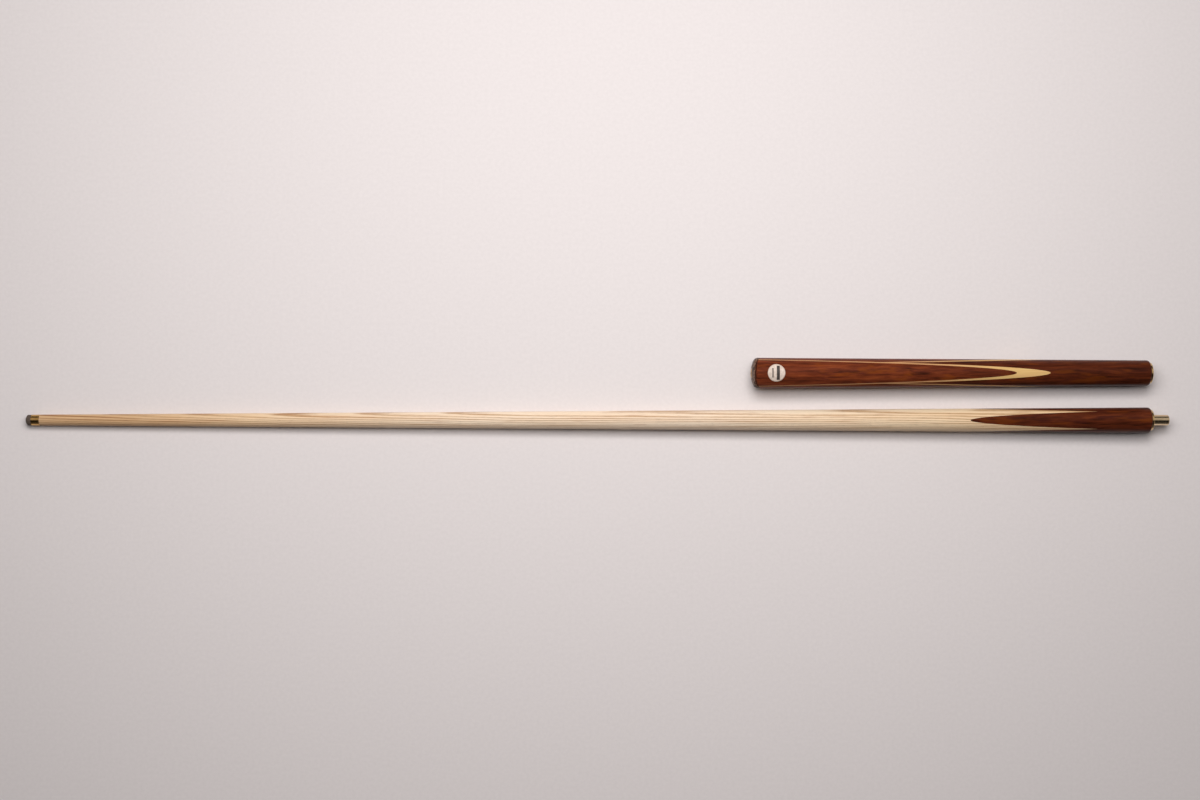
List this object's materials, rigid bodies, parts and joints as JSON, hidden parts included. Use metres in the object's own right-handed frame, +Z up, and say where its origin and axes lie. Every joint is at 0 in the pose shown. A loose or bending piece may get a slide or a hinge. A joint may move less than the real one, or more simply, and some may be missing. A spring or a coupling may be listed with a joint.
{
  "type": "pool cue",
  "caption": "Two-section tapered wooden cue with spliced butt, brass joint pin and socket, ferrule and leather tip, shown unscrewed with the butt beside the shaft.",
  "frame": {"origin": "on the table, at the middle of the box round shaft and butt", "axes": "+X from the tip towards the joint ends, +Y from the shaft towards the butt, +Z up"},
  "size_m": [1.0879, 0.0712, 0.0291],
  "materials": {
    "tip_leather": "pressed, burnished side",
    "brass": "polished",
    "pin_brass": "polished",
    "slug_steel": "turned",
    "ash": "satin oiled, open brown grain",
    "rosewood_base": "satin lacquer",
    "rosewood_butt": "satin lacquer",
    "pale_veneer": "satin lacquer",
    "badge_enamel": "gloss, plain bars printed"
  },
  "bodies": {
    "shaft": {"tip": "tip_leather", "ferrule": "brass", "shaft_blank": "ash", "shaft_splice_front": "rosewood_base", "shaft_splice_back": "rosewood_base", "shaft_splice_left": "rosewood_base", "shaft_splice_right": "rosewood_base", "shaft_collar": "brass", "joint_pin": "pin_brass"},
    "weight": {"weight_slug": "slug_steel"},
    "joint_brass": {"joint_socket": "brass", "butt_collar": "brass"},
    "butt": {"butt_core": "ash", "base_splice_front": "rosewood_base", "base_splice_back": "rosewood_base", "base_splice_left": "rosewood_base", "base_splice_right": "rosewood_base", "veneer_front": "pale_veneer", "veneer_back": "pale_veneer", "veneer_left": "pale_veneer", "veneer_right": "pale_veneer", "butt_splice_front": "rosewood_butt", "butt_splice_back": "rosewood_butt", "butt_splice_left": "rosewood_butt", "butt_splice_right": "rosewood_butt", "badge": "badge_enamel", "butt_end_socket": "brass"}
  },
  "joints": [
    {"name": "butt_swing", "type": "hinge", "parent": "shaft", "child": "weight", "pos_m": [0.5364, -0.00123, 0.012], "axis": [0, 0, -1], "range_deg": [0, 180]},
    {"name": "butt_feed", "type": "slide", "parent": "weight", "child": "joint_brass", "axis": [1, 0, -0.0065], "range_m": [0, 0.018]},
    {"name": "butt_screw", "type": "hinge", "parent": "joint_brass", "child": "butt", "pos_m": [0.52497, 0.02112, 0.01221], "axis": [1, 0, -0.0065], "range_deg": [0, 4320]}
  ],
  "couplings": [
    {"joint": "butt_screw", "follows": "butt_feed", "rad_per_m": 4188.8}
  ]
}
